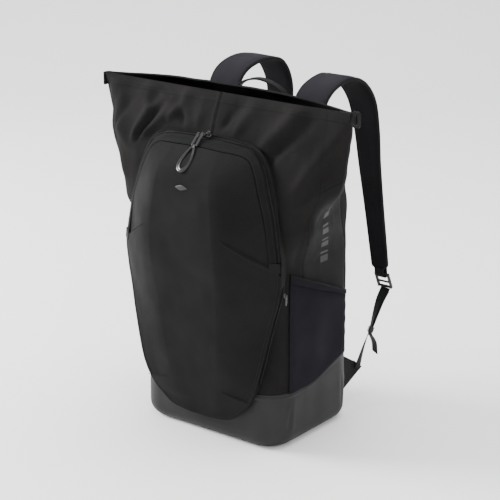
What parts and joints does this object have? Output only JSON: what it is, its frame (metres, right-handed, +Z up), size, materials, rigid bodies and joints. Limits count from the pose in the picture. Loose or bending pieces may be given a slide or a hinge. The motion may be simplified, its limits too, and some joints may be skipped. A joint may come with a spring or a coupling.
{
  "type": "racket backpack",
  "caption": "Roll-top racket backpack standing with its mouth unrolled, domed zipped front pocket, stretch side pockets and padded shoulder straps.",
  "frame": {"origin": "centre of the boot's flat bottom, on the surface that the bag stands on", "axes": "+Z up to the mouth, -Y to the front pocket, +Y to the wearer's back, +X to the side with the short side zip"},
  "size_m": [0.5387, 0.4051, 0.617],
  "materials": {
    "woven": "matte woven polyester",
    "coated": "smooth coated fabric",
    "knit": "stretch knit",
    "strap_knit": "fine knit over foam",
    "webbing": "woven webbing",
    "lining": "matte lining",
    "plastic": "matte moulded",
    "metal": "dark gloss",
    "rubber": "satin",
    "mark": "satin print"
  },
  "bodies": {
    "pack": {"front_panel": "woven", "back_panel": "woven", "upper_gusset_left": "woven", "upper_gusset_right": "woven", "pocket_gusset": "woven", "pocket_front_lower": "woven", "zip_end_left": "woven", "zip_end_right": "woven", "base_boot": "coated", "side_panel_left": "coated", "side_panel_right": "coated", "side_pocket_left": "knit", "side_pocket_right": "knit", "back_pad_left": "knit", "back_pad_right": "knit", "shoulder_strap_left": "strap_knit", "shoulder_strap_right": "strap_knit", "yoke_panel": "webbing", "webbing_left": "webbing", "webbing_right": "webbing", "webbing_tail_left": "webbing", "webbing_tail_right": "webbing", "anchor_wing_left": "webbing", "anchor_wing_right": "webbing", "base_board": "lining", "laptop_divider": "lining", "main_zip_coil": "plastic", "side_zip_coil": "plastic", "keeper_left": "plastic", "keeper_right": "plastic"},
    "collar": {"collar_front": "woven", "collar_back": "woven", "rim_tape_front": "webbing", "rim_tape_back": "webbing", "rim_tab_left": "webbing", "rim_tab_right": "webbing"},
    "pocket_flap": {"pocket_front_upper": "woven", "zip_band": "woven", "pocket_badge": "mark"},
    "slider_left": {"zip_slider_left": "metal"},
    "slider_right": {"zip_slider_right": "metal", "zip_bail_right": "metal"},
    "pull": {"pull_loop": "rubber", "pull_link": "metal"},
    "side_slider": {"side_zip_slider": "metal"},
    "side_ring": {"side_zip_ring": "metal"},
    "handle": {"top_handle": "webbing"},
    "lock_left": {"ladder_lock_left": "plastic"},
    "lock_right": {"ladder_lock_right": "plastic"}
  },
  "joints": [
    {"name": "collar_fold", "type": "hinge", "parent": "pack", "child": "collar", "pos_m": [0, -0.092, 0.5448], "axis": [1, 0, 0], "range_deg": [0, 100]},
    {"name": "pocket_flap_open", "type": "hinge", "parent": "pack", "child": "pocket_flap", "pos_m": [0, -0.1775, 0.331], "axis": [1, 0, 0], "range_deg": [0, 90]},
    {"name": "slider_left_travel", "type": "slide", "parent": "pocket_flap", "child": "slider_left", "axis": [-1, 0, 0], "range_m": [0, 0.05]},
    {"name": "slider_right_travel", "type": "slide", "parent": "pocket_flap", "child": "slider_right", "axis": [1, 0, 0], "range_m": [0, 0.05]},
    {"name": "pull_swing", "type": "hinge", "parent": "slider_left", "child": "pull", "pos_m": [-0.0065, -0.1143, 0.53612], "axis": [-1, 0, 0], "range_deg": [0, 110]},
    {"name": "side_slider_travel", "type": "slide", "parent": "pack", "child": "side_slider", "axis": [-0.1912, -0.1175, -0.9745], "range_m": [0, 0.12]},
    {"name": "side_ring_swing", "type": "hinge", "parent": "side_slider", "child": "side_ring", "pos_m": [0.16575, -0.10572, 0.28702], "axis": [0.3743, -0.9273, 0], "range_deg": [0, 90]},
    {"name": "handle_swing", "type": "hinge", "parent": "pack", "child": "handle", "pos_m": [0, 0.065, 0.525], "axis": [1, 0, 0], "range_deg": [-55, 0]},
    {"name": "lock_left_tilt", "type": "hinge", "parent": "pack", "child": "lock_left", "pos_m": [-0.145, 0.208, 0.2405], "axis": [1, 0, 0], "range_deg": [-25, 20]},
    {"name": "lock_right_tilt", "type": "hinge", "parent": "pack", "child": "lock_right", "pos_m": [0.145, 0.208, 0.2405], "axis": [1, 0, 0], "range_deg": [-25, 20]}
  ]
}
